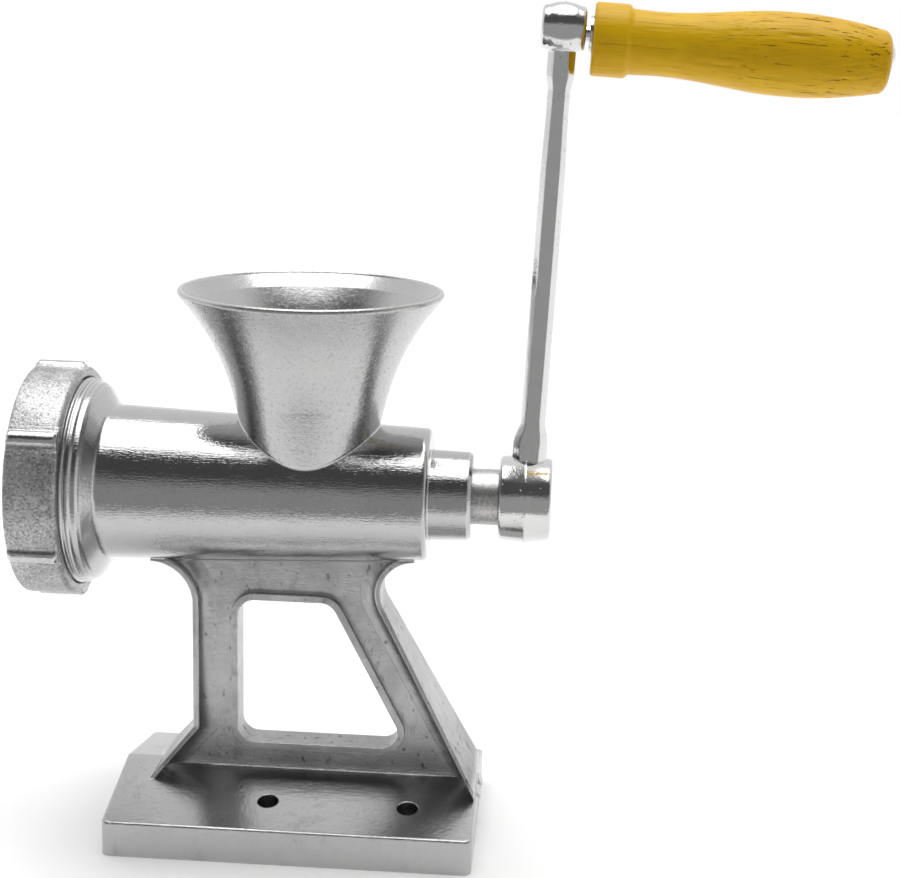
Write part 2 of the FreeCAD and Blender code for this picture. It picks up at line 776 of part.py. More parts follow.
def grinding_plate():
    """Flat plate with rings of mincing holes, a journal hole and a notch for the key."""
    body = new_body("grinding_plate", z=d.axis_height)
    cylinder_along_x(body, "plate_disc", PLATE_FRONT_X, RECESS_X, d.plate_radius, bore=d.stub_radius + d.slip)
    through = d.plate_thickness * 4
    middle = RECESS_X - d.plate_thickness / 2
    inner = d.stub_radius + d.plate_hole * 2.2
    step = (NUT_OPENING - d.plate_hole * 1.2 - inner) / (len(PLATE_RINGS) - 1)
    for ring, count in enumerate(PLATE_RINGS):
        reach = inner + step * ring
        sketch = new_sketch(body, f"ring_{ring}_outline", "YZ_Plane", (ZERO, ZERO, middle))
        draw_circle(sketch, ZERO, reach, d.plate_hole)
        hole = body.newObject("PartDesign::Pocket", f"ring_{ring}_hole")
        hole.Profile = sketch
        hole.SideType = "Symmetric"
        bind(hole, "Length", through)
        body.Tip = polar(body, f"ring_{ring}_holes", hole, count)
    notch = new_sketch(body, "notch_outline", "YZ_Plane", (ZERO, ZERO, middle))
    wide = d.key_radius + d.seat_gap
    crown = (ZERO, wide - KEY_CENTRE)
    outside = -d.plate_radius - OVERRUN
    draw(notch, crown, ((-wide, -KEY_CENTRE), wide, 1), (-wide, outside), (wide, outside), (wide, -KEY_CENTRE),
         (crown, wide, 1))
    cut = body.newObject("PartDesign::Pocket", "key_notch")
    cut.Profile = notch
    cut.SideType = "Symmetric"
    bind(cut, "Length", through)
    return body


def polar(body, name, feature, count):
    """Repeats a feature evenly about the body's own X axis."""
    pattern = body.newObject("PartDesign::PolarPattern", name)
    pattern.Originals = [feature]
    pattern.Axis = (origin_plane(body, "X_Axis"), [""])
    pattern.Angle = 360
    pattern.Occurrences = count
    return pattern


def cross_knife():
    """Four-bladed knife: flat front edges towards the plate and sloping backs."""
    body = new_body("cross_knife", z=d.axis_height)
    cylinder_along_x(body, "knife_hub", KNIFE_FRONT_X, KNIFE_REAR_X, d.knife_hub)
    half = d.blade_width / 2
    slope = d.knife_thickness * 0.45
    blade = raise_profile(
        body, "knife_blade", "XY_Plane", KNIFE_RADIUS - d.knife_hub * 0.5,
        (KNIFE_FRONT_X, -half),
        (KNIFE_FRONT_X, half),
        (KNIFE_REAR_X - slope, half),
        (KNIFE_REAR_X, ZERO),
        (KNIFE_REAR_X, -half),
        midplane=False, shift=(ZERO, ZERO, d.knife_hub * 0.5),
    )
    body.Tip = polar(body, "knife_blades", blade, BLADE_COUNT)
    half_square = d.stub_square / 2 + d.slip
    raise_profile(
        body, "knife_square", "YZ_Plane", d.knife_thickness * 4,
        *rectangle(-half_square, -half_square, half_square, half_square),
        shift=(ZERO, ZERO, KNIFE_FRONT_X), cut=True,
    )
    return body


def ring_nut():
    """Hand nut that holds the plate: lipped ring with six ribs to grip."""
    body = new_body("ring_nut", z=d.axis_height)
    body.Placement = FreeCAD.Placement(body.Placement.Base, FreeCAD.Rotation(FreeCAD.Vector(-1, 0, 0), 1))
    bind(body, "Placement.Rotation.Angle", d.lug_angle)
    rear_x = NUT_FRONT_X + d.nut_length
    edge = d.nut_edge
    turn_profile(
        body, "nut_turning",
        (NUT_FRONT_X, NUT_OPENING + edge),
        (NUT_FRONT_X, NUT_RADIUS - edge),
        ((NUT_FRONT_X + edge, NUT_RADIUS), edge, -1),
        (rear_x - d.nut_rear_edge, NUT_RADIUS),
        ((rear_x, NUT_RADIUS - d.nut_rear_edge), d.nut_rear_edge * 1.6, -1),
        (rear_x, NUT_BORE + edge * 0.6),
        (rear_x - edge * 0.6, NUT_BORE),
        (NUT_SEAT_X, NUT_BORE),
        (NUT_SEAT_X, NUT_OPENING),
        (NUT_FRONT_X + edge, NUT_OPENING),
    )
    crest = d.lug_crest / 2
    flank = d.lug_width / 2
    top = NUT_RADIUS + d.lug_height
    foot = NUT_RADIUS - d.lug_height * 0.35
    lug = raise_profile(
        body, "lug", "YZ_Plane", d.nut_length - d.lug_inset - d.nut_rear_edge,
        (-flank, foot - d.lug_height),
        (flank, foot - d.lug_height),
        (flank, foot),
        ((crest, top - d.lug_height * 0.35), d.lug_height * 1.6, -1),
        ((-crest, top - d.lug_height * 0.35), d.lug_crest, 1),
        ((-flank, foot), d.lug_height * 1.6, -1),
        midplane=False, shift=(ZERO, ZERO, NUT_FRONT_X + d.lug_inset),
    )
    body.Tip = polar(body, "lugs", lug, LUG_COUNT)
    return body


# ---------------------------------------------------------------- auger and its drive

def feed_auger():
    """Tapered screw with its shaft, drawn along Z and laid down along the barrel."""
    core = new_body("auger_core_body")
    half = d.drive_square / 2
    turn_profile(
        core, "auger_turning",
        (ZERO, AUGER_FRONT_X),
        (d.auger_core, AUGER_FRONT_X),
        (d.auger_core, AUGER_REAR_X - d.shaft_radius * 0.6),
        (d.shaft_radius * 1.3, AUGER_REAR_X),
        (d.shaft_radius, AUGER_REAR_X),
        (d.shaft_radius, CRANK_X - d.slip),
        (ZERO, CRANK_X - d.slip),
        axis="V_Axis",
    )
    raise_profile(core, "drive_end", "XY_Plane", d.drive_length + d.shaft_reach,
                  *rectangle(-half, -half, half, half),
                  midplane=False, shift=(ZERO, ZERO, REAR_BOSS_X))
    helix = doc.addObject("Part::Helix", "flight_path")
    bind(helix, "Pitch", d.auger_pitch)
    bind(helix, "Height", AUGER_REAR_X - AUGER_FRONT_X - d.auger_pitch * 0.3)
    bind(helix, "Radius", d.auger_core)
    bind(helix, "Placement.Base.z", AUGER_FRONT_X + d.flight_root / 2)
    section = new_body("flight_section_body")
    outline = new_sketch(section, "flight_section", "XZ_Plane", (ZERO, AUGER_FRONT_X + d.flight_root / 2, ZERO))
    reach = BORE_FRONT_RADIUS + OVERRUN
    draw(outline, (d.auger_core * 0.8, d.flight_root / -2), (reach, d.flight_tip / -2),
         (reach, d.flight_tip / 2), (d.auger_core * 0.8, d.flight_root / 2))
    flight = doc.addObject("Part::Sweep", "flight_sweep")
    flight.Sections = [outline]
    flight.Spine = (helix, ["Edge1"])
    flight.Solid = True
    flight.Frenet = True
    envelope = new_body("flight_envelope")
    front = BORE_FRONT_RADIUS - d.turning_gap
    turn_profile(
        envelope, "envelope_turning",
        (ZERO, AUGER_FRONT_X),
        (front, AUGER_FRONT_X),
        (front, CHAMBER_X),
        (BORE_REAR_RADIUS - d.turning_gap, AUGER_REAR_X),
        (ZERO, AUGER_REAR_X),
        axis="V_Axis",
    )
    trimmed = combine("Part::MultiCommon", "flight", flight, envelope)
    whole = combine("Part::MultiFuse", "auger_metal", core, trimmed)
    socket = new_body("auger_sockets")
    for name, radius, low, high in (
        ("stub_space", d.stub_radius, AUGER_FRONT_X - OVERRUN, AUGER_FRONT_X + d.stub_shank),
        ("screw_space", d.crank_screw, SCREW_HEAD_X - d.crank_screw_length, DRIVE_END_X + OVERRUN),
    ):
        turn_profile(socket, name, *rectangle(ZERO, low, radius, high), axis="V_Axis")
    auger = combine("Part::Cut", "feed_auger", whole, socket)
    auger.Placement = FreeCAD.Placement(FreeCAD.Vector(), FreeCAD.Rotation(FreeCAD.Vector(0, 1, 0), 90))
    bind(auger, "Placement.Base.z", d.axis_height)
    return auger


def auger_stub():
    """Pin at the auger's front: a square for the knife and a round journal for the plate."""
    body = new_body("auger_stub", z=d.axis_height)
    half = d.stub_square / 2
    cylinder_along_x(body, "stub_pin", PLATE_FRONT_X, AUGER_FRONT_X + d.stub_shank, d.stub_radius)
    raise_profile(body, "stub_square_pad", "YZ_Plane", d.knife_thickness, *rectangle(-half, -half, half, half),
                  midplane=False, shift=(ZERO, ZERO, KNIFE_FRONT_X))
    return body


def washer(label, x0, thickness, radius, bore):
    body = new_body(label, z=d.axis_height)
    cylinder_along_x(body, f"{label}_ring", x0, x0 + thickness, radius, bore=bore)
    return body


# ---------------------------------------------------------------- crank

def drafted_boss(body, name, low, high, radius, draft, edge):
    """A round boss that is fullest at its parting line, with rounded ends."""
    middle = (low + high) / 2
    turn_profile(
        body, name,
        (low, ZERO),
        (low, radius - draft - edge),
        ((low + edge, radius - draft), edge, -1),
        (middle, radius),
        (high - edge, radius - draft),
        ((high, radius - draft - edge), edge, -1),
        (high, ZERO),
    )


def arm_section(body, index, height, width, depth):
    """One eight-sided slice across the arm."""
    sketch = new_sketch(body, f"arm_slice_{index}", "XY_Plane", (ZERO, ZERO, height))
    x = width / 2
    y = depth / 2
    draw(sketch, (-x, y * -0.35), (x * -0.5, -y), (x * 0.5, -y), (x, y * -0.35),
         (x, y * 0.35), (x * 0.5, y), (x * -0.5, y), (-x, y * 0.35))
    return sketch


def pin_frame(label, below=ZERO):
    """A body whose own X axis runs along the grip's pin, or parallel to it and below it."""
    return new_body(label, x=PIN_X - below * sine(d.pin_lean), z=PIN_Z - below * cosine(d.pin_lean),
                    lean=d.pin_lean)


def crank_arm():
    """Cast arm with the shaft boss at its foot and the grip's pin boss at its top."""
    foot = new_body("shaft_boss", z=d.axis_height)
    drafted_boss(foot, "shaft_boss_turning", CRANK_X, CRANK_END_X, d.crank_boss_radius, d.crank_boss_draft,
                 d.crank_boss_edge)
    arm = new_body("arm_bar", x=ARM_X, z=d.axis_height, lean=d.crank_lean)
    top = d.crank_throw - d.pin_boss_radius * 0.5
    slices = (
        (d.crank_boss_radius - 4, d.arm_foot_width, d.arm_depth * 1.1),
        (d.crank_boss_radius + 3, d.arm_foot_width, d.arm_depth * 1.1),
        (d.crank_boss_radius + 9, d.arm_width * 1.05, d.arm_depth),
        (d.crank_throw / 2, d.arm_width, d.arm_depth),
        (d.crank_throw - d.pin_boss_radius * 2.9, d.arm_neck_width, d.arm_neck_depth),
        (d.crank_throw - d.pin_boss_radius * 1.7, d.arm_head_width, d.arm_neck_depth),
        (top, d.arm_head_width, d.arm_neck_depth),
    )
    sketches = [arm_section(arm, index, *values) for index, values in enumerate(slices)]
    loft = arm.newObject("PartDesign::AdditiveLoft", "arm_loft")
    loft.Profile = sketches[0]
    loft.Sections = sketches[1:]
    loft.Ruled = True
    head = new_body("pin_boss", x=PIN_X, z=PIN_Z + d.pin_drop, lean=d.crank_lean)
    half = d.pin_boss_length / 2
    drafted_boss(head, "pin_boss_turning", -half, half, d.pin_boss_radius, d.pin_boss_draft, d.pin_boss_edge)
    metal = combine("Part::MultiFuse", "crank_metal", foot, arm, head)
    square = new_body("crank_square", z=d.axis_height)
    side = d.drive_square / 2 + d.slip
    raise_profile(square, "square_space", "YZ_Plane", d.drive_length + OVERRUN,
                  *rectangle(-side, -side, side, side),
                  midplane=False, shift=(ZERO, ZERO, CRANK_X - OVERRUN + d.slip))
    cylinder_along_x(square, "screw_way", CRANK_X, CRANK_END_X, d.crank_screw + d.seat_gap)
    cylinder_along_x(square, "washer_recess", CRANK_RECESS_X, CRANK_END_X + OVERRUN,
                     d.crank_washer_radius + d.turning_gap)
    pin = pin_frame("pin_space")
    cylinder_along_x(pin, "pin_way", -half - OVERRUN, half + OVERRUN, d.bolt_radius)
    space = combine("Part::MultiFuse", "crank_space", square, pin)
    return combine("Part::Cut", "crank_arm", metal, space)


def domed_head(body, name, x, radius, height):
    """A low dome that starts flat at x."""
    sphere = (radius * radius + height * height) / (height * 2)
    turn_profile(body, name, (x, ZERO), (x, radius), ((x + height, ZERO), sphere, -1))


def crank_screw():
    """Machine screw that holds the crank on the auger's shaft, with a slot in its head."""
    body = new_body("crank_screw", z=d.axis_height)
    cylinder_along_x(body, "screw_shank", SCREW_HEAD_X - d.crank_screw_length, SCREW_HEAD_X, d.crank_screw)
    domed_head(body, "screw_head", SCREW_HEAD_X, d.crank_screw_head, d.crank_recess - d.crank_washer_thickness)
    slot = d.crank_screw * 0.2
    raise_profile(
        body, "screw_slot", "XY_Plane", d.crank_screw_head * 3,
        *rectangle(SCREW_HEAD_X + d.crank_screw * 0.3, -slot, CRANK_END_X + OVERRUN, slot), cut=True,
    )
    return body


# ---------------------------------------------------------------- grip

GRIP_START = d.pin_boss_length / 2 + d.grip_gap


def wooden_grip():
    """Turned grip that hangs on its bolt: a collar, a narrow neck, a swell for the palm and a rounded end."""
    body = pin_frame("wooden_grip", below=d.grip_sag)
    bore = d.bolt_radius + d.grip_sag + d.slip
    travel = d.grip_swell_at - d.grip_neck_at
    rise = d.grip_swell_radius - d.grip_neck_radius
    bend = (travel * travel + rise * rise) / (rise * 4)
    middle = ((d.grip_neck_at + d.grip_swell_at) / 2, (d.grip_neck_radius + d.grip_swell_radius) / 2)
    step_end = d.grip_collar_length + d.grip_step
    tail = d.grip_length - d.grip_end_round
    tail_run = tail - d.grip_swell_at
    tail_drop = d.grip_swell_radius - d.grip_end_radius
    tail_bend = (tail_run * tail_run + tail_drop * tail_drop) / (tail_drop * 2)
    edge = d.grip_edge

    def at(along, radius):
        return (GRIP_START + along, radius)

    turn_profile(
        body, "grip_turning",
        at(ZERO, bore),
        at(d.grip_length, bore),
        at(d.grip_length, d.grip_end_radius - d.grip_end_round),
        (at(tail, d.grip_end_radius), d.grip_end_round, 1),
        (at(d.grip_swell_at, d.grip_swell_radius), tail_bend, 1),
        (at(*middle), bend, 1),
        (at(d.grip_neck_at, d.grip_neck_radius), bend, -1),
        at(step_end, d.grip_neck_radius + d.grip_step * 0.2),
        at(d.grip_collar_length, d.grip_collar_radius - edge * 0.4),
        (at(d.grip_collar_length - edge, d.grip_collar_radius), edge * 1.6, 1),
        at(edge, d.grip_collar_radius),
        (at(ZERO, d.grip_collar_radius - edge), edge, 1),
    )
    return body


def grip_bolt():
    """Bolt fixed in the crank's pin boss; the grip turns on its shank, under its domed head."""
    body = pin_frame("grip_bolt")
    end = GRIP_START + d.grip_length + d.slip
    cylinder_along_x(body, "bolt_shank", d.pin_boss_length / -2, end, d.bolt_radius)
    domed_head(body, "bolt_head", end, d.bolt_head_radius, d.bolt_head_height)
    return body


def grip_washer():
    body = pin_frame("grip_washer")
    rear = GRIP_START - d.slip
    cylinder_along_x(body, "grip_washer_ring", rear - d.grip_washer_thickness, rear, d.grip_washer_radius,
                     bore=d.bolt_radius)
    return body


# ---------------------------------------------------------------- build, check and write

SUB_PARTS = [
    body_casting(),
    plate_key(),
    grinding_plate(),
    cross_knife(),
    ring_nut(),
    feed_auger(),
    auger_stub(),
    washer("thrust_washer", THRUST_X, d.thrust_washer_thickness, d.thrust_washer_radius,
           d.shaft_radius + d.slip),
    crank_arm(),
    washer("crank_washer", CRANK_RECESS_X, d.crank_washer_thickness, d.crank_washer_radius, d.crank_screw),
    crank_screw(),
    wooden_grip(),
    grip_bolt(),
    grip_washer(),
]
doc.recompute()

failed = [item.Label for item in doc.Objects if {"Invalid", "Error"} & set(item.State)]
if failed:
    raise RuntimeError(f"these objects did not compute: {failed}")
for item in SUB_PARTS:
    if item.Shape.isNull() or not item.Shape.isValid() or not item.Shape.Solids:
        raise RuntimeError(f"{item.Label} has no sound solid")

os.makedirs("parts", exist_ok=True)
for item in SUB_PARTS:
    item.Shape.exportStep(f"parts/{item.Label}.step")
    box = item.Shape.optimalBoundingBox()
    print(f"{item.Label:16s} solids {len(item.Shape.Solids)}  volume {item.Shape.Volume:10.1f}  "
          f"x {box.XMin:7.2f} {box.XMax:7.2f}  y {box.YMin:7.2f} {box.YMax:7.2f}  "
          f"z {box.ZMin:7.2f} {box.ZMax:7.2f}")
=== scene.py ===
import json
import math

import bmesh
import bpy
from mathutils import Matrix, Vector, noise


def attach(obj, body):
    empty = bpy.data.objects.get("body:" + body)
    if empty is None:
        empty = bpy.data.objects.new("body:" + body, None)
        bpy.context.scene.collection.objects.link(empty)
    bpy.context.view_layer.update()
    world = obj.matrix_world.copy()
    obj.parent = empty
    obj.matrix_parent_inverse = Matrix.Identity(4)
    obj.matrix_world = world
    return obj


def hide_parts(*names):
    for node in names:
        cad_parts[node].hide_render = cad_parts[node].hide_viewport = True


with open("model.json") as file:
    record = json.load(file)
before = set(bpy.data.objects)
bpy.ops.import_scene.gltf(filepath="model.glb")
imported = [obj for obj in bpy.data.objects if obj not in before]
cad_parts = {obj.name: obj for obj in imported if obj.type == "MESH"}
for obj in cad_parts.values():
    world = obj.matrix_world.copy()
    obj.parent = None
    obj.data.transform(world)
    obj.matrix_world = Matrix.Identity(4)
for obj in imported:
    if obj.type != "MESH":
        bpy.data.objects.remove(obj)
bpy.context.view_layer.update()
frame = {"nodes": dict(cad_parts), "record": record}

# ------------------------------------------------------------------ camera

CAMERA_PLACE = Vector((0.0799, -0.5331, 0.2627))
CAMERA_YAW = 0.0610
CAMERA_PITCH = 0.2354
CAMERA_ROLL = 0.0274
CAMERA_LENS_MM = 68.1


def add_camera():
    """Camera a little above the object, on the crank's side of its middle, with a slight roll."""
    ahead = Vector((
        -math.sin(CAMERA_YAW) * math.cos(CAMERA_PITCH),
        math.cos(CAMERA_YAW) * math.cos(CAMERA_PITCH),
        -math.sin(CAMERA_PITCH),
    ))
    right = ahead.cross(Vector((0, 0, 1))).normalized()
    up = right.cross(ahead)
    side = math.cos(CAMERA_ROLL) * right + math.sin(CAMERA_ROLL) * up
    top = math.cos(CAMERA_ROLL) * up - math.sin(CAMERA_ROLL) * right
    data = bpy.data.cameras.new("camera")
    data.sensor_width = 36
    data.lens = CAMERA_LENS_MM
    camera = bpy.data.objects.new("camera", data)
    turn = Matrix((side, top, -ahead)).transposed()
    camera.matrix_world = Matrix.Translation(CAMERA_PLACE) @ turn.to_4x4()
    bpy.context.collection.objects.link(camera)
    bpy.context.scene.camera = camera


add_camera()

# ------------------------------------------------------------------ node shorthand


def join(tree, socket, value):
    """Sets a socket to a value, or links it to another socket."""
    if isinstance(value, Level):
        value = value.socket
    if isinstance(value, bpy.types.NodeSocket):
        tree.links.new(value, socket)
    elif isinstance(value, (tuple, list)) and socket.type == "RGBA" and len(value) == 3:
        socket.default_value = (*value, 1)
    else:
        socket.default_value = value


class Level:
    """A number that varies over a surface: arithmetic on it adds the Math nodes."""

    def __init__(self, tree, socket):
        self.tree, self.socket = tree, socket

    def math(self, operation, *others, clamp=False):
        """Adds one Math node over the given values."""
        node = self.tree.nodes.new("ShaderNodeMath")
        node.operation = operation
        node.use_clamp = clamp
        for slot, value in enumerate(others):
            join(self.tree, node.inputs[slot], value)
        return Level(self.tree, node.outputs[0])

    def __add__(self, other):
        return self.math("ADD", self, other)

    def __sub__(self, other):
        return self.math("SUBTRACT", self, other)

    def __rsub__(self, other):
        return self.math("SUBTRACT", other, self)

    def __mul__(self, other):
        return self.math("MULTIPLY", self, other)

    def __truediv__(self, other):
        return self.math("DIVIDE", self, other)

    __radd__ = __add__
    __rmul__ = __mul__

    def root(self):
        return self.math("SQRT", self)

    def held(self):
        """Kept between 0 and 1."""
        return self.math("ADD", self, 0.0, clamp=True)

    def step(self, low, high):
        """Rises smoothly from 0 at low to 1 at high; falls where low is above high."""
        node = self.tree.nodes.new("ShaderNodeMapRange")
        node.interpolation_type = "SMOOTHSTEP"
        for name, value in (("Value", self), ("From Min", min(low, high)), ("From Max", max(low, high))):
            join(self.tree, node.inputs[name], value)
        node.inputs["To Min"].default_value = 0.0 if low < high else 1.0
        node.inputs["To Max"].default_value = 1.0 if low < high else 0.0
        return Level(self.tree, node.outputs["Result"])


class Tree:
    """A material's or world's nodes, added one call at a time."""

    def __init__(self, node_tree):
        self.tree = node_tree

    def node(self, kind, settings=None, **sockets):
        """Adds a node: its settings first, then values or links by socket name (spaces as underscores)."""
        node = self.tree.nodes.new(kind)
        for name, value in (settings or {}).items():
            setattr(node, name, value)
        for name, value in sockets.items():
            spoken = name.replace("_", " ")
            found = [each for each in node.inputs if each.name == spoken and each.enabled]
            join(self.tree, found[0] if found else node.inputs[int(name.strip("_"))], value)
        return node

    def place(self):
        """Object coordinates as a vector socket."""
        return self.node("ShaderNodeTexCoord").outputs["Object"]

    def split(self, vector):
        """The x, y and z of a vector, each as a Level."""
        node = self.node("ShaderNodeSeparateXYZ", Vector=vector)
        return [Level(self.tree, output) for output in node.outputs]

    def stretched(self, vector, scale, turn=(0, 0, 0)):
        """The vector scaled on each axis, then turned (radians)."""
        return self.node("ShaderNodeMapping", Vector=vector, Rotation=turn, Scale=scale).outputs[0]

    def noise(self, vector, scale, detail=3.0, roughness=0.5, distortion=0.0):
        """Random cloudy level between about 0 and 1."""
        node = self.node("ShaderNodeTexNoise", Vector=vector, Scale=scale, Detail=detail,
                         Roughness=roughness, Distortion=distortion)
        return Level(self.tree, node.outputs[0])

    def mix(self, share, one, other):
        """A colour between one and other."""
        node = self.node("ShaderNodeMix", {"data_type": "RGBA"}, Factor=share, A=one, B=other)
        return node.outputs["Result"] if node.outputs["Result"].enabled else node.outputs[2]

    def blend(self, share, one, other):
        """A number between one and other."""
        return (other - one) * share + one

    def bump(self, height, depth, normal=None):
        """Normal tilted by a height whose full range is depth, in metres."""
        node = self.node("ShaderNodeBump", Height=height, Strength=1.0, Distance=depth)
        if normal is not None:
            join(self.tree, node.inputs["Normal"], normal)
        return node.outputs["Normal"]


def new_finish(name, **fixed):
    """A material and its tree; fixed sets the shader's own sockets."""
    material = bpy.data.materials.new(name)
    material.use_nodes = True
    shader = material.node_tree.nodes["Principled BSDF"]
    for socket, value in fixed.items():
        join(material.node_tree, shader.inputs[socket.replace("_", " ")], value)
    return material, Tree(material.node_tree), shader


def soft_edges(tree, radius):
    """Normal rounded over corners, and a level that is 1 on the corners themselves; finishes use it for edge
    wear and for a painted edge highlight in the colour.
    """
    rounded = tree.node("ShaderNodeBevel", {"samples": 4}, Radius=radius).outputs["Normal"]
    flat = tree.node("ShaderNodeNewGeometry").outputs["Normal"]
    dot = tree.node("ShaderNodeVectorMath", {"operation": "DOT_PRODUCT"}, _0=rounded, _1=flat).outputs["Value"]
    return rounded, Level(tree.tree, dot).step(0.995, 0.86)


# ------------------------------------------------------------------ stage and surroundings

FLOOR_FRONT = -0.2
FLOOR_REACH = 6.0


def add_floor():
    """Pale plain table top that ends a little in front of the object."""
    mesh = bpy.data.meshes.new("floor")
    corners = [(-FLOOR_REACH, FLOOR_FRONT, 0), (FLOOR_REACH, FLOOR_FRONT, 0),
               (FLOOR_REACH, FLOOR_REACH, 0), (-FLOOR_REACH, FLOOR_REACH, 0)]
    mesh.from_pydata(corners, [], [(0, 1, 2, 3)])
    floor = bpy.data.objects.new("floor", mesh)
    mesh.materials.append(new_finish("studio_floor", Roughness=0.8, Base_Color=(0.97, 0.97, 0.97))[0])
    bpy.context.collection.objects.link(floor)


def add_studio():
    """Bright ceiling, pale backdrop and a dim room in front, which polished metal shows as a dark band."""
    world = bpy.data.worlds.new("studio")
    world.use_nodes = True
    tree = Tree(world.node_tree)
    _, y, z = tree.split(tree.node("ShaderNodeTexCoord").outputs["Generated"])
    room = 0.40 - z.step(0.22, 0.36) * 0.31
    backdrop = y.step(-0.45, 0.25)
    around = tree.blend(backdrop, room, 0.95)
    ceiling = z.step(0.85, 0.92) * 3.2
    seen = Level(tree.tree, tree.node("ShaderNodeLightPath").outputs["Is Camera Ray"])
    light = tree.blend(seen, around + ceiling, 1.0)
    join(tree.tree, world.node_tree.nodes["Background"].inputs["Strength"], light)
    world.node_tree.nodes["Background"].inputs["Color"].default_value = (1, 1, 1, 1)
    bpy.context.scene.world = world


add_floor()
add_studio()
bpy.context.scene.view_settings.view_transform = "Standard"

# ------------------------------------------------------------------ metal finishes

AXIS_HEIGHT = frame["record"]["behaviour"]["joints"][0]["pos_m"][2]


def from_axis(y, z):
    """Distance from the barrel's axis."""
    return (y * y + (z - AXIS_HEIGHT) * (z - AXIS_HEIGHT)).root()


def fine_scratches(tree, where, amount):
    """Thin random hairlines, one set drawn out across the barrel and one set along it."""
    one = tree.noise(tree.stretched(where, (900, 60, 2600), (0.3, 0.2, 0.4)), 1.0, 2.0)
    two = tree.noise(tree.stretched(where, (140, 900, 3400), (0.9, -0.5, 0.2)), 1.0, 2.0)
    return (one + two - 1.0) * amount


BARREL_TAPER = 3.8 / 104.3
BARREL_RADIUS_AT_ORIGIN = 0.0231
BEHIND_COLLAR = (-0.058, -0.055)
FOOT_BAND = (0.0225, 0.019)


def cast_aluminium():
    """Die-cast body: polished barrel, satin hopper, rough stained stand painted darker low down as shade,
    half-polished foot, and a painted highlight on its edges.
    """
    material, tree, shader = new_finish("cast_aluminium", Metallic=1.0)
    where = tree.place()
    x, y, z = tree.split(where)
    above_barrel = from_axis(y, z) + x * BARREL_TAPER - BARREL_RADIUS_AT_ORIGIN
    clear = above_barrel.step(0.0003, 0.0009)
    hopper = clear * z.step(AXIS_HEIGHT - 0.001, AXIS_HEIGHT + 0.001) * x.step(*BEHIND_COLLAR)
    below = clear * z.step(AXIS_HEIGHT, AXIS_HEIGHT - 0.001) * x.step(*BEHIND_COLLAR)
    foot = z.step(*FOOT_BAND)
    stand = (below - foot).held()
    cloud = tree.noise(where, 60.0, 4.0, 0.6)
    grain = tree.noise(where, 900.0, 3.0, 0.65)
    pores = tree.noise(tree.stretched(where, (1, 1, 0.6)), 520.0, 2.0, 0.4)
    stain = tree.noise(tree.stretched(where, (90, 90, 45)), 1.0, 6.0, 0.72, 0.4).step(0.53, 0.75)
    rounded, edge = soft_edges(tree, 0.0006)
    # Real stains and pores on the stand and foot, plus painted shade that darkens the stand from 40 mm down to
    # 19 mm above the floor.
    stains_and_painted_shade = (stain * stand * 0.6 + pores.step(0.64, 0.74) * stand * 0.6 + stain * foot * 0.3
            + z.step(0.040, 0.019) * stand * 0.45).held()
    bright = tree.mix(cloud, (0.43, 0.43, 0.435), (0.53, 0.53, 0.525))
    patchy = tree.mix(cloud.step(0.3, 0.7), (0.38, 0.38, 0.383), (0.52, 0.52, 0.517))
    rougher = tree.mix(stand, bright, patchy)
    flecked = tree.mix(grain.step(0.55, 0.75) * (0.3 - hopper * 0.2), rougher, (0.25, 0.25, 0.25))
    # Colour darkened by the real stains and pores and by the painted shade low on the stand.
    stained_and_shaded = tree.mix(stains_and_painted_shade, flecked, (0.10, 0.097, 0.094))
    # Corners brightened towards near-white: a painted edge highlight, partly edge wear.
    join(tree.tree, shader.inputs["Base Color"], tree.mix(edge * 0.85, stained_and_shaded, (0.95, 0.95, 0.95)))
    speck = grain.step(0.52, 0.68)
    rough = (0.075 + cloud * 0.05 + hopper * (0.1 + speck * 0.12) + stand * 0.2 + foot * 0.12
             + grain * 0.05 + stains_and_painted_shade * 0.15)
    join(tree.tree, shader.inputs["Roughness"], (rough - edge * 0.1).held())
    lumps = tree.noise(where, 240.0, 2.0, 0.5)
    wavy = tree.noise(tree.stretched(where, (60, 60, 8)), 1.0, 1.0) * hopper * 0.7
    relief = (wavy + cloud * 0.4 + lumps * (0.11 + stand * 0.9)
              + grain * (0.15 + stand * 0.5 + foot * 0.08 + hopper * 0.12)
              + fine_scratches(tree, where, 0.26) * (1.0 - hopper * 0.75) - stains_and_painted_shade * 0.3)
    join(tree.tree, shader.inputs["Normal"], tree.bump(relief, 0.00018, rounded))
    return material


RIB_BAND = (0.0376, 0.0384)


def nut_aluminium():
    """Satin die-cast ring, rubbed brighter on its rib tops, with worn edges that also carry a painted
    highlight.
    """
    material, tree, shader = new_finish("nut_aluminium", Metallic=1.0)
    where = tree.place()
    cloud = tree.noise(where, 90.0, 5.0, 0.65)
    grain = tree.noise(where, 1300.0, 3.0, 0.7)
    streak = tree.noise(tree.stretched(where, (180, 1900, 1900)), 1.0, 2.0)
    _, y, z = tree.split(where)
    rib = from_axis(y, z).step(*RIB_BAND)
    rounded, edge = soft_edges(tree, 0.0007)
    body = tree.mix(cloud.step(0.3, 0.7), (0.30, 0.30, 0.305), (0.52, 0.52, 0.515))
    bright_specks = tree.mix(grain.step(0.52, 0.64) * 0.6, body, (0.78, 0.78, 0.78))
    speckled = tree.mix(grain.step(0.46, 0.36) * 0.7, bright_specks, (0.13, 0.13, 0.13))
    worn = tree.mix(rib * 0.7, speckled, (0.58, 0.58, 0.575))
    # Corners brightened almost to white: a painted edge highlight, partly edge wear.
    join(tree.tree, shader.inputs["Base Color"], tree.mix(edge * 0.9, worn, (0.97, 0.97, 0.97)))
    rough = tree.blend(rib, 0.25 + cloud * 0.22 + grain * 0.1, 0.1 + grain * 0.06)
    join(tree.tree, shader.inputs["Roughness"], (rough - edge * 0.1).held())
    relief = grain * (1.0 - rib * 0.7) + streak * 0.3 + cloud * 1.1 + fine_scratches(tree, where, 0.15)
    join(tree.tree, shader.inputs["Normal"], tree.bump(relief, 0.00018, rounded))
    return material


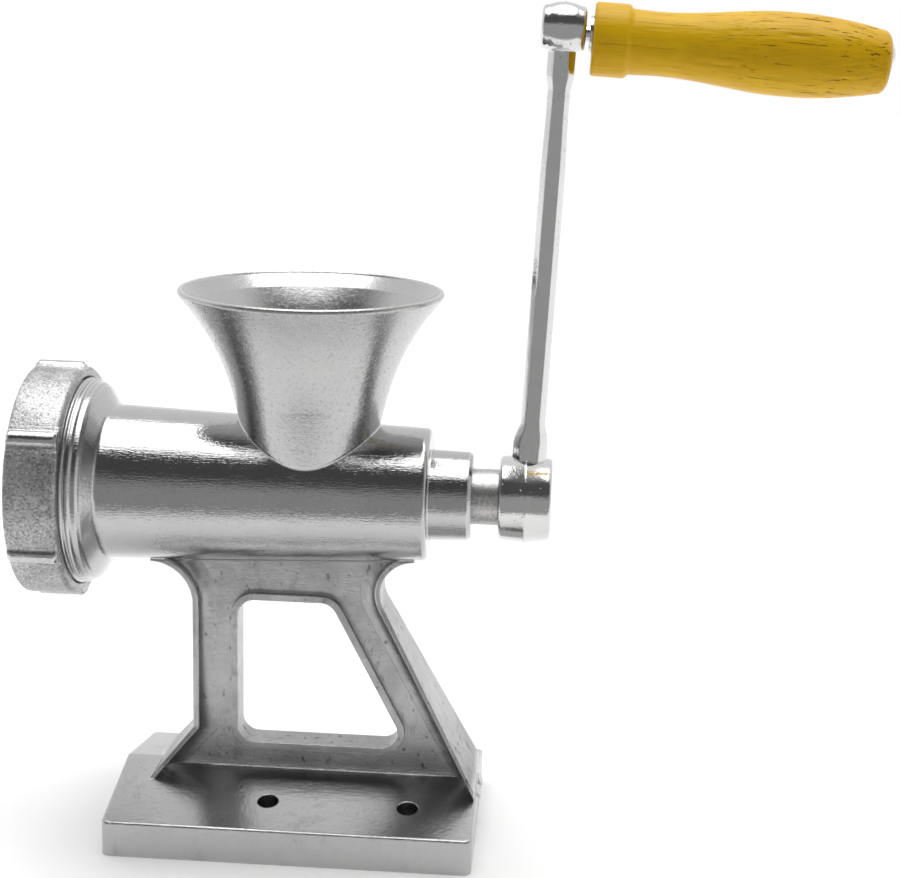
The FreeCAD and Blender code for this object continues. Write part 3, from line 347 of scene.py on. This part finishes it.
def plated_steel(name, colour, rough, lump):
    """Bright plating over a forging: mirror-like with small ripples and pits."""
    material, tree, shader = new_finish(name, Metallic=1.0)
    where = tree.place()
    ripple = tree.noise(where, 160.0, 3.0, 0.55)
    grain = tree.noise(where, 1500.0, 2.0, 0.6)
    pits = tree.noise(where, 900.0, 2.0, 0.5).step(0.70, 0.76)
    rounded, edge = soft_edges(tree, 0.0005)
    light = tuple(min(1.0, part * 1.15) for part in colour)
    body = tree.mix(ripple, colour, light)
    join(tree.tree, shader.inputs["Base Color"], tree.mix(pits * 0.6, body, (0.25, 0.23, 0.2)))
    join(tree.tree, shader.inputs["Roughness"], (rough + ripple * 0.06 + pits * 0.2 - edge * 0.04).held())
    relief = ripple * lump + grain * 0.22 - pits * 0.3 + fine_scratches(tree, where, 0.06)
    join(tree.tree, shader.inputs["Normal"], tree.bump(relief, 0.0002, rounded))
    return material


def auger_metal():
    """Dull speckled casting of the feed screw and its shaft."""
    material, tree, shader = new_finish("auger_metal", Metallic=1.0)
    where = tree.place()
    cloud = tree.noise(where, 120.0, 4.0, 0.6)
    speck = tree.noise(where, 1100.0, 3.0, 0.7)
    rounded, edge = soft_edges(tree, 0.0005)
    body = tree.mix(speck.step(0.35, 0.65), (0.38, 0.375, 0.37), (0.58, 0.575, 0.57))
    # Corners brightened: a painted edge highlight, partly edge wear.
    join(tree.tree, shader.inputs["Base Color"], tree.mix(edge * 0.6, body, (0.8, 0.8, 0.79)))
    join(tree.tree, shader.inputs["Roughness"], (0.26 + cloud * 0.16 + speck * 0.1 - edge * 0.1).held())
    join(tree.tree, shader.inputs["Normal"], tree.bump(speck * 0.3 + cloud * 0.4, 0.00015, rounded))
    return material


def tool_steel():
    """Ground cutting steel with circular grinding lines about the barrel's axis."""
    material, tree, shader = new_finish("tool_steel", Metallic=1.0)
    where = tree.place()
    x, y, z = tree.split(where)
    rings = tree.node("ShaderNodeCombineXYZ", X=from_axis(y, z) * 5200.0, Y=x * 300.0)
    lines = tree.noise(rings.outputs[0], 1.0, 2.0, 0.5)
    tarnish = tree.noise(where, 110.0, 5.0, 0.65).step(0.45, 0.75)
    rounded, edge = soft_edges(tree, 0.0003)
    body = tree.mix(tarnish, (0.55, 0.545, 0.535), (0.36, 0.345, 0.32))
    # Corners brightened: a painted edge highlight, partly edge wear.
    join(tree.tree, shader.inputs["Base Color"], tree.mix(edge * 0.6, body, (0.85, 0.85, 0.84)))
    join(tree.tree, shader.inputs["Roughness"], (0.22 + lines * 0.12 + tarnish * 0.12).held())
    join(tree.tree, shader.inputs["Normal"], tree.bump(lines, 0.00003, rounded))
    return material


def washer_plastic():
    """Milky nylon, slightly scuffed."""
    material, tree, shader = new_finish("washer_plastic", IOR=1.5)
    where = tree.place()
    cloud = tree.noise(where, 200.0, 4.0, 0.6)
    rub = tree.noise(tree.stretched(where, (300, 2400, 2400)), 1.0, 2.0)
    join(tree.tree, shader.inputs["Base Color"], tree.mix(cloud, (0.78, 0.76, 0.70), (0.87, 0.86, 0.81)))
    join(tree.tree, shader.inputs["Roughness"], (0.38 + rub * 0.2).held())
    join(tree.tree, shader.inputs["Normal"], tree.bump(rub * 0.3 + cloud * 0.3, 0.0001))
    return material


GRIP_LEAN = 0.0524
SWELL_START = (0.112, 0.128)
TAIL_START = (0.158, 0.166)


def varnished_wood():
    """Yellow varnished wood: grain along the grip, thin dark checks mostly on the swell, and small dents."""
    material, tree, shader = new_finish("varnished_wood", Coat_Roughness=0.25, IOR=1.42,
                                        Specular_IOR_Level=0.2)
    where = tree.stretched(tree.place(), (1, 1, 1), (0, -GRIP_LEAN, 0))
    x = tree.split(where)[0]
    grain = tree.noise(tree.stretched(where, (28, 900, 900)), 1.0, 4.0, 0.6, 0.3)
    fibre = tree.noise(tree.stretched(where, (90, 3800, 3800)), 1.0, 2.0, 0.6)
    cloud = tree.noise(where, 45.0, 3.0, 0.55)
    swell = x.step(*SWELL_START)
    checks = tree.noise(tree.stretched(where, (36, 1350, 1350), (0, 0, 0.03)), 1.0, 4.0, 0.62, 0.4)
    crack = checks.step(0.61, 0.65) * (0.2 + swell * 0.8) * (1.0 - x.step(*TAIL_START) * 0.7)
    dents = tree.noise(tree.stretched(where, (120, 420, 420)), 1.0, 2.0, 0.5)
    yellow = tree.mix(grain, (0.90, 0.53, 0.001), (0.68, 0.37, 0.001))
    patched = tree.mix(cloud.step(0.4, 0.75) * 0.5, yellow, (0.94, 0.60, 0.004))
    fibred = tree.mix(fibre.step(0.5, 0.75) * 0.35, patched, (0.55, 0.26, 0.002))
    join(tree.tree, shader.inputs["Base Color"], tree.mix(crack * 0.85, fibred, (0.13, 0.05, 0.006)))
    join(tree.tree, shader.inputs["Roughness"], (0.34 + grain * 0.12 + crack * 0.3).held())
    join(tree.tree, shader.inputs["Coat Weight"], (0.22 - crack * 0.22 - cloud * 0.08).held())
    relief = grain * 0.5 + fibre * 0.2 + dents * swell * 0.9 - crack * 0.9
    rounded = soft_edges(tree, 0.0005)[0]
    join(tree.tree, shader.inputs["Normal"], tree.bump(relief, 0.00035, rounded))
    return material


chrome = plated_steel("crank_plating", (0.60, 0.60, 0.595), 0.06, 0.6)
fastener = plated_steel("fastener_steel", (0.62, 0.62, 0.615), 0.08, 0.25)
steel = tool_steel()
auger = auger_metal()
casting = cast_aluminium()
nut_metal = nut_aluminium()
wood = varnished_wood()
FINISHES = {
    "body_casting": casting, "plate_key": steel, "grinding_plate": steel, "cross_knife": steel,
    "ring_nut": nut_metal, "feed_auger": auger, "auger_stub": steel, "thrust_washer": washer_plastic(),
    "crank_arm": chrome, "crank_washer": fastener, "crank_screw": fastener, "wooden_grip": wood,
    "grip_bolt": fastener, "grip_washer": fastener,
}
for name, finish in FINISHES.items():
    mesh = frame["nodes"][name].data
    mesh.materials.clear()
    mesh.materials.append(finish)

# ------------------------------------------------------------------ shaping helpers (millimetres)

MM = 0.001
AXIS_MM = AXIS_HEIGHT * 1000
SHARP_ANGLE = 38


def ramp(value, low, high):
    """0 below low, 1 above high and a smooth rise between them."""
    share = min(1.0, max(0.0, (value - low) / (high - low)))
    return share * share * (3 - 2 * share)


def solid_from_rows(rows):
    """A closed skin through rows of points that each go once round the shape."""
    shape = bmesh.new()
    rings = [[shape.verts.new(Vector(point) * MM) for point in row] for row in rows]
    for one, other in zip(rings, rings[1:]):
        for index in range(len(one)):
            after = (index + 1) % len(one)
            shape.faces.new((one[index], one[after], other[after], other[index]))
    shape.faces.new(rings[0][::-1])
    shape.faces.new(rings[-1])
    bmesh.ops.recalc_face_normals(shape, faces=shape.faces[:])
    return shape


def turned(outline, steps):
    """A ring or knob: an outline of (along, radius) turned about X; radius 0 closes an end."""
    shape = bmesh.new()
    rings = []
    for along, radius in outline:
        count = 1 if radius == 0 else steps
        rings.append([
            shape.verts.new(Vector((along, radius * math.sin(math.tau * step / steps),
                                    radius * math.cos(math.tau * step / steps))) * MM)
            for step in range(count)
        ])
    if outline[0][1] > 0:
        rings.append(rings[0])
    for one, other in zip(rings, rings[1:]):
        for step in range(steps):
            corners = [one[step % len(one)], one[(step + 1) % len(one)],
                       other[(step + 1) % len(other)], other[step % len(other)]]
            shape.faces.new(list(dict.fromkeys(corners)))
    bmesh.ops.recalc_face_normals(shape, faces=shape.faces[:])
    return shape


def round_corner(centre, radius, start, end, count=5):
    """Points of an arc in (along, radius) terms, with its angles in degrees."""
    angles = [math.radians(start + (end - start) * step / count) for step in range(count + 1)]
    return [(centre[0] + radius * math.cos(angle), centre[1] + radius * math.sin(angle)) for angle in angles]


def placed(shape, x, z, lean_degrees=0.0):
    """Turns a shape about Y by the lean and moves it to (x, 0, z) in millimetres."""
    turn = Matrix.Rotation(math.radians(lean_degrees), 4, "Y")
    shape.transform(Matrix.Translation(Vector((x, 0, z)) * MM) @ turn)
    return shape


def finished(name, shapes, material, body, *replaced, slot):
    """Joins shapes into one smooth piece that rides on a body."""
    whole = bmesh.new()
    for shape in shapes:
        part = bpy.data.meshes.new("part")
        shape.to_mesh(part)
        shape.free()
        whole.from_mesh(part)
        bpy.data.meshes.remove(part)
    for face in whole.faces:
        face.smooth = True
    mesh = bpy.data.meshes.new(name)
    whole.to_mesh(mesh)
    whole.free()
    mesh.set_sharp_from_angle(angle=math.radians(SHARP_ANGLE))
    mesh.materials.append(material)
    piece = bpy.data.objects.new(name, mesh)
    bpy.context.collection.objects.link(piece)
    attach(piece, body)
    if replaced:
        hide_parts(*replaced)


# ------------------------------------------------------------------ crank forging

SHAFT_BOSS = {"start": 63.8, "end": 80.8, "radius": 14.6, "draft": 0.9, "edge": 1.4,
              "recess": 7.6, "recess_at": 77.6}
PIN_BOSS = {"half": 6.75, "radius": 8.0, "edge": 1.5, "edge_at": 5.3, "crown_half": 4.6, "crown_fall": 1.05}
ARM = {"x": 72.9, "lean": 2.2, "half": 4.0, "deep": 4.5, "foot": (19.0, 26.0), "neck": (100.0, 127.0),
       "head": (130.0, 134.5), "foot_wider": 1.6, "foot_deeper": 0.4, "foot_shift": 0.35, "neck_less": 0.5,
       "head_wider": 0.75}
CRANK_THROW = 148.7
SEAM = 0.22


def arm_row(height):
    """One soft-cornered eight-sided section of the bar at this height above the shaft."""
    foot = 1 - ramp(height, *ARM["foot"])
    neck = ramp(height, *ARM["neck"])
    head = ramp(height, *ARM["head"])
    half = ARM["half"] + ARM["foot_wider"] * foot - ARM["neck_less"] * neck + ARM["head_wider"] * head
    deep = ARM["deep"] + ARM["foot_deeper"] * foot - ARM["neck_less"] * neck
    points = []
    corners = ((-1, -0.35), (-0.5, -1), (0.5, -1), (1, -0.35), (1, 0.35), (0.5, 1), (-0.5, 1), (-1, 0.35))
    for index, corner in enumerate(corners):
        before, after = corners[index - 1], corners[(index + 1) % 8]
        for share, toward in ((0.2, before), (0.05, before), (0.05, after), (0.2, after)):
            across = corner[0] + (toward[0] - corner[0]) * share
            out = corner[1] + (toward[1] - corner[1]) * share
            pull = 0.985 if share < 0.1 else 1.0
            points.append((across * half * pull - ARM["foot_shift"] * foot, out * deep * pull, height))
    return points


def crank_forging():
    """Arm with its shaft boss and rounded pin boss, and the seam the dies leave round each boss."""
    boss = SHAFT_BOSS
    middle = (boss["start"] + boss["end"]) / 2
    end_radius = boss["radius"] - boss["draft"]
    edge = boss["edge"]
    foot = turned([
        (boss["start"], 0),
        *round_corner((boss["start"] + edge, end_radius - edge), edge, 180, 100),
        (middle - 0.5, boss["radius"] - SEAM),
        (middle - 0.2, boss["radius"]),
        (middle + 0.2, boss["radius"]),
        (middle + 0.5, boss["radius"] - SEAM),
        *round_corner((boss["end"] - edge, end_radius - edge - 0.3), edge, 80, 0),
        (boss["end"], boss["recess"] + 0.4),
        (boss["end"] - 0.4, boss["recess"]),
        (boss["recess_at"], boss["recess"]),
        (boss["recess_at"], 0),
    ], 96)
    placed(foot, 0, AXIS_MM)
    heights = [11.5 + 1.5 * step for step in range(14)] + [34 + 4 * step for step in range(23)]
    heights += [124 + 1.2 * step for step in range(18)]
    bar = placed(solid_from_rows([arm_row(height) for height in heights]), ARM["x"], AXIS_MM, ARM["lean"])
    pin = PIN_BOSS
    edge_x = pin["half"] - pin["edge"]
    crown = [(-pin["half"], 0), *round_corner((-edge_x, pin["edge_at"]), pin["edge"], 180, 115)]
    for step in range(17):
        along = pin["crown_half"] * (step / 8 - 1)
        seam = SEAM * 0.8 if abs(along) < 0.3 else 0
        crown.append((along, pin["radius"] - pin["crown_fall"] * abs(along / 4.9) ** 2.2 - SEAM + seam))
    crown += [*round_corner((edge_x, pin["edge_at"]), pin["edge"], 65, 0), (pin["half"], 0)]
    lean = math.radians(ARM["lean"])
    head = placed(turned(crown, 64), ARM["x"] + CRANK_THROW * math.sin(lean),
                  AXIS_MM + CRANK_THROW * math.cos(lean), ARM["lean"])
    finished("crank_forging", (foot, bar, head), chrome, "crank", "crank_arm", slot="crank_plating")


crank_forging()

# ------------------------------------------------------------------ ring nut

NUT = {"front": -88.55, "rear": -71.85, "radius": 37.4, "bore": 33.8, "opening": 27.6, "lip": 3.0, "edge": 1.0,
       "rear_edge": 2.0}
RIB = {"count": 6, "turn": -4.0, "height": 1.95, "crest": 1.7, "foot": 2.9, "half": 4.0, "root": 1.6,
       "front_gap": 0.35, "rear_gap": 0.5, "end": 0.7, "sunk": 0.12}


def nut_rib():
    """One grip rib along the top of the nut: a rounded bar with soft skirts."""
    rows = []
    low, high = NUT["front"] + RIB["front_gap"], NUT["rear"] - RIB["rear_gap"]
    half, root = RIB["half"], NUT["radius"] - RIB["root"]
    for step in range(19):
        along = low + (high - low) * step / 18
        end = min(along - low, high - along)
        full = 1 - 0.45 * (1 - min(1.0, end / RIB["end"])) ** 2
        row = []
        for spot in range(25):
            across = half * (spot / 12 - 1)
            rise = 1 - ramp(abs(across), RIB["crest"], RIB["foot"])
            crown = 0.5 * min(1.0, abs(across) / RIB["crest"]) ** 2
            skin = math.sqrt(NUT["radius"] ** 2 - across ** 2) - RIB["sunk"]
            row.append((along, across, skin + (RIB["height"] - crown) * rise * full))
        row += [(along, half, root), (along, -half, root)]
        rows.append(row)
    return solid_from_rows(rows)


def repeated_round(name, shape, count, turn_degrees, material):
    """Copies a shape round the X axis with Geometry Nodes and gives the result back as a plain mesh."""
    tree = bpy.data.node_groups.new("repeat_round", "GeometryNodeTree")
    face = tree.interface
    face.new_socket("Geometry", in_out="INPUT", socket_type="NodeSocketGeometry")
    face.new_socket("Geometry", in_out="OUTPUT", socket_type="NodeSocketGeometry")
    count_id = face.new_socket("Count", in_out="INPUT", socket_type="NodeSocketInt").identifier
    turn_id = face.new_socket("First turn", in_out="INPUT", socket_type="NodeSocketFloat").identifier
    start, end = tree.nodes.new("NodeGroupInput"), tree.nodes.new("NodeGroupOutput")
    shop = Tree(tree)
    line = shop.node("GeometryNodeMeshLine", Count=start.outputs["Count"], Offset=(0, 0, 0))
    index = Level(tree, shop.node("GeometryNodeInputIndex").outputs[0])
    angle = index * math.tau / Level(tree, start.outputs["Count"]) + start.outputs["First turn"]
    turn = shop.node("ShaderNodeCombineXYZ", X=angle)
    copies = shop.node("GeometryNodeInstanceOnPoints", Points=line.outputs[0],
                       Instance=start.outputs["Geometry"], Rotation=turn.outputs[0])
    real = shop.node("GeometryNodeRealizeInstances", Geometry=copies.outputs[0])
    coated = shop.node("GeometryNodeSetMaterial", Geometry=real.outputs[0], Material=material)
    tree.links.new(coated.outputs[0], end.inputs[0])
    mesh = bpy.data.meshes.new(name)
    shape.to_mesh(mesh)
    shape.free()
    holder = bpy.data.objects.new(name, mesh)
    bpy.context.collection.objects.link(holder)
    modifier = holder.modifiers.new(name, "NODES")
    modifier.node_group = tree
    modifier[count_id] = count
    modifier[turn_id] = math.radians(turn_degrees)
    made = bpy.data.meshes.new_from_object(holder.evaluated_get(bpy.context.evaluated_depsgraph_get()))
    bpy.data.objects.remove(holder)
    result = bmesh.new()
    result.from_mesh(made)
    return result


def hand_nut():
    """Lipped ring with six ribs to grip, softened like a die casting."""
    nut = NUT
    edge, back = nut["edge"], nut["rear_edge"]
    ring = turned([
        *round_corner((nut["front"] + edge, nut["opening"] + edge), edge, 270, 180),
        *round_corner((nut["front"] + edge, nut["radius"] - edge), edge, 180, 90),
        (nut["front"] + 6, nut["radius"]),
        *round_corner((nut["rear"] - back, nut["radius"] - back), back, 90, 12),
        (nut["rear"], nut["bore"] + 0.7),
        (nut["rear"] - 0.6, nut["bore"]),
        (nut["front"] + nut["lip"], nut["bore"]),
        (nut["front"] + nut["lip"], nut["opening"]),
    ], 160)
    ribs = repeated_round("nut_ribs", nut_rib(), RIB["count"], RIB["turn"], nut_metal)
    finished("hand_nut", (placed(ring, 0, AXIS_MM), placed(ribs, 0, AXIS_MM)), nut_metal, "nut", "ring_nut",
             slot="nut_aluminium")


hand_nut()

# ------------------------------------------------------------------ wooden grip

GRIP = {"pin_x": 78.608, "pin_z": 263.19, "sag": 1.3, "lean": 3.0, "start": 8.95, "length": 89.0, "bore": 3.8,
        "collar": 11.1, "collar_length": 10.2, "step": 1.4, "neck": 9.6, "neck_at": 20.0, "swell": 12.6,
        "swell_at": 59.0, "end": 9.7, "end_round": 3.0, "edge": 0.9}


def grip_radius(along):
    """Outside radius of the turning, measured from its collar end: neck, swell and tapered tail."""
    grip = GRIP
    if along < grip["collar_length"]:
        return grip["collar"]
    if along < grip["neck_at"]:
        drop = grip["neck"] + 0.28 * (1 - ramp(along, grip["collar_length"], grip["neck_at"]))
        step_end = grip["collar_length"] + grip["step"]
        lip = (grip["collar"] - drop) * (1 - ramp(along, grip["collar_length"], step_end))
        return drop + lip
    if along < grip["swell_at"]:
        return grip["neck"] + (grip["swell"] - grip["neck"]) * ramp(along, grip["neck_at"], grip["swell_at"])
    share = (along - grip["swell_at"]) / (grip["length"] - grip["end_round"] - grip["swell_at"])
    return grip["swell"] - (grip["swell"] - grip["end"]) * min(1.0, share) ** 2


WEAR = {"dent": 0.10, "grain": 0.06, "check": 0.22, "skin": 0.06, "check_from": 0.42, "check_full": 0.6,
        "palm_from": 30, "palm_full": 45, "bore_wall": 2}


def wear_wood(shape):
    """Presses shallow dents, raised grain and open checks into a turning that lies along X."""
    for corner in shape.verts:
        place = corner.co * 1000
        radius = math.hypot(place.y, place.z)
        along = place.x - GRIP["start"]
        if radius < GRIP["bore"] + WEAR["bore_wall"]:
            continue
        palm = 0.3 + 0.7 * ramp(along, WEAR["palm_from"], WEAR["palm_full"])
        dent = noise.noise(Vector((place.x * 0.11, place.y * 0.3, place.z * 0.3)))
        grain = noise.noise(Vector((place.x * 0.05, place.y * 1.1, place.z * 1.1)) + Vector((7, 0, 0)))
        check = noise.noise(Vector((place.x * 0.08, place.y * 0.85, place.z * 0.85)) + Vector((0, 31, 0)))
        opened = ramp(check, WEAR["check_from"], WEAR["check_full"]) * palm
        depth = WEAR["dent"] * dent * palm + WEAR["grain"] * grain - WEAR["check"] * opened - WEAR["skin"]
        sink = min(0.0, depth) / radius
        corner.co.y += corner.co.y * sink
        corner.co.z += corner.co.z * sink


def wood_turning():
    """Turned grip with a crisp collar, worn a little all over and checked along the palm swell."""
    grip = GRIP
    start, end = grip["start"], grip["start"] + grip["length"]
    outline = [(start, grip["bore"]), *round_corner((start + grip["edge"], grip["collar"] - grip["edge"]),
                                                    grip["edge"], 180, 90, 4)]
    spots = [1.5 + 0.7 * step for step in range(120)]
    spots = [spot for spot in spots if spot < grip["length"] - grip["end_round"]]
    outline += [(start + spot, grip_radius(spot)) for spot in spots]
    tail = grip["end"] - grip["end_round"]
    outline += round_corner((end - grip["end_round"], tail), grip["end_round"], 90, 0, 8)
    outline += [(end, (grip["bore"] + tail) / 2), (end, grip["bore"])]
    shape = turned(outline, 144)
    wear_wood(shape)
    lean = math.radians(grip["lean"])
    placed(shape, grip["pin_x"] - grip["sag"] * math.sin(lean), grip["pin_z"] - grip["sag"] * math.cos(lean),
           grip["lean"])
    finished("wood_turning", (shape,), wood, "grip", "wooden_grip", slot="varnished_wood")


wood_turning()

# ------------------------------------------------------------------ cast fillets of the stand

# web: half thickness; flange: rim thickness; hollow and rise: reach of the fillet along the web and out of it;
# bite: depth of its top end inside the barrel's wall.
STAND = {"web": 3.3, "flange": 2.0, "hollow": 5.2, "rise": 4.3, "foot_z": 13.5, "sink": 0.3, "bite": 1.2}
LEFT_LEG = {"x": -35.7, "arch": 13.9, "knee": 34.0, "slant": 39.8}
RIGHT_LEG = {"x": 37.5, "arch": 10.9, "slant": 28.4}
BARREL_FRONT = -62.8
BARREL_FRONT_RADIUS = 25.4


def barrel_radius(x):
    """Outside radius of the tapered barrel, in millimetres."""
    return BARREL_FRONT_RADIUS - BARREL_TAPER * (x - BARREL_FRONT)


def left_face(inset):
    """Line down the inner side of the left leg, inset from its outer face."""
    leg = LEFT_LEG
    centre_x = leg["x"] - leg["arch"]
    centre_z = AXIS_MM - barrel_radius(centre_x) - leg["arch"] + STAND["sink"]
    reach = leg["arch"] + inset
    line = [(centre_x + reach * math.sin(math.radians(angle)), centre_z + reach * math.cos(math.radians(angle)))
            for angle in range(6, 91, 6)]
    slope = math.tan(math.radians(leg["slant"]))
    knee = leg["knee"] - (inset / math.cos(math.radians(leg["slant"])) - inset) / slope
    line += [(leg["x"] + inset, (centre_z + knee) / 2), (leg["x"] + inset, knee)]
    line.append((leg["x"] + inset - (knee - STAND["foot_z"]) * slope, STAND["foot_z"]))
    return line


def right_face(inset):
    """Line down the inner side of the right leg, inset from its outer face."""
    leg = RIGHT_LEG
    centre_z = AXIS_MM - barrel_radius(leg["x"]) - leg["arch"] + STAND["sink"]
    reach = leg["arch"] + inset
    line = [(leg["x"] - reach * math.sin(math.radians(angle)), centre_z + reach * math.cos(math.radians(angle)))
            for angle in range(4, 91 + int(leg["slant"]), 6)]
    slant = math.radians(leg["slant"])
    shoulder = (leg["x"] - reach * math.cos(slant), centre_z - reach * math.sin(slant))
    line.append(shoulder)
    line.append((shoulder[0] + (shoulder[1] - STAND["foot_z"]) * math.tan(slant), STAND["foot_z"]))
    return line


def below_barrel(point, out):
    """Height of a point, held down so that it ends inside the barrel's wall."""
    x, z = point
    return min(z, AXIS_MM - math.sqrt((barrel_radius(x) - STAND["bite"]) ** 2 - out * out))


def fillet(face, side):
    """Hollow that runs a leg's flange into the web, on the front (-1) or the back (1)."""
    section = [(-0.6, STAND["web"] - 0.4), (-0.6, STAND["web"] + STAND["rise"])]
    for step in range(9):
        angle = math.radians(90 * step / 8)
        section.append((STAND["hollow"] * (1 - math.cos(angle)),
                        STAND["web"] + STAND["rise"] * (1 - math.sin(angle))))
    section.append((STAND["hollow"], STAND["web"] - 0.4))
    lines = [(face(STAND["flange"] + inset), out * side) for inset, out in section]
    rows = [[(line[spot][0], out, below_barrel(line[spot], out)) for line, out in lines]
            for spot in range(len(lines[0][0]))]
    return solid_from_rows(rows)


finished("stand_fillets", [fillet(face, side) for face in (left_face, right_face) for side in (-1, 1)],
         casting, "casting", slot="cast_aluminium")
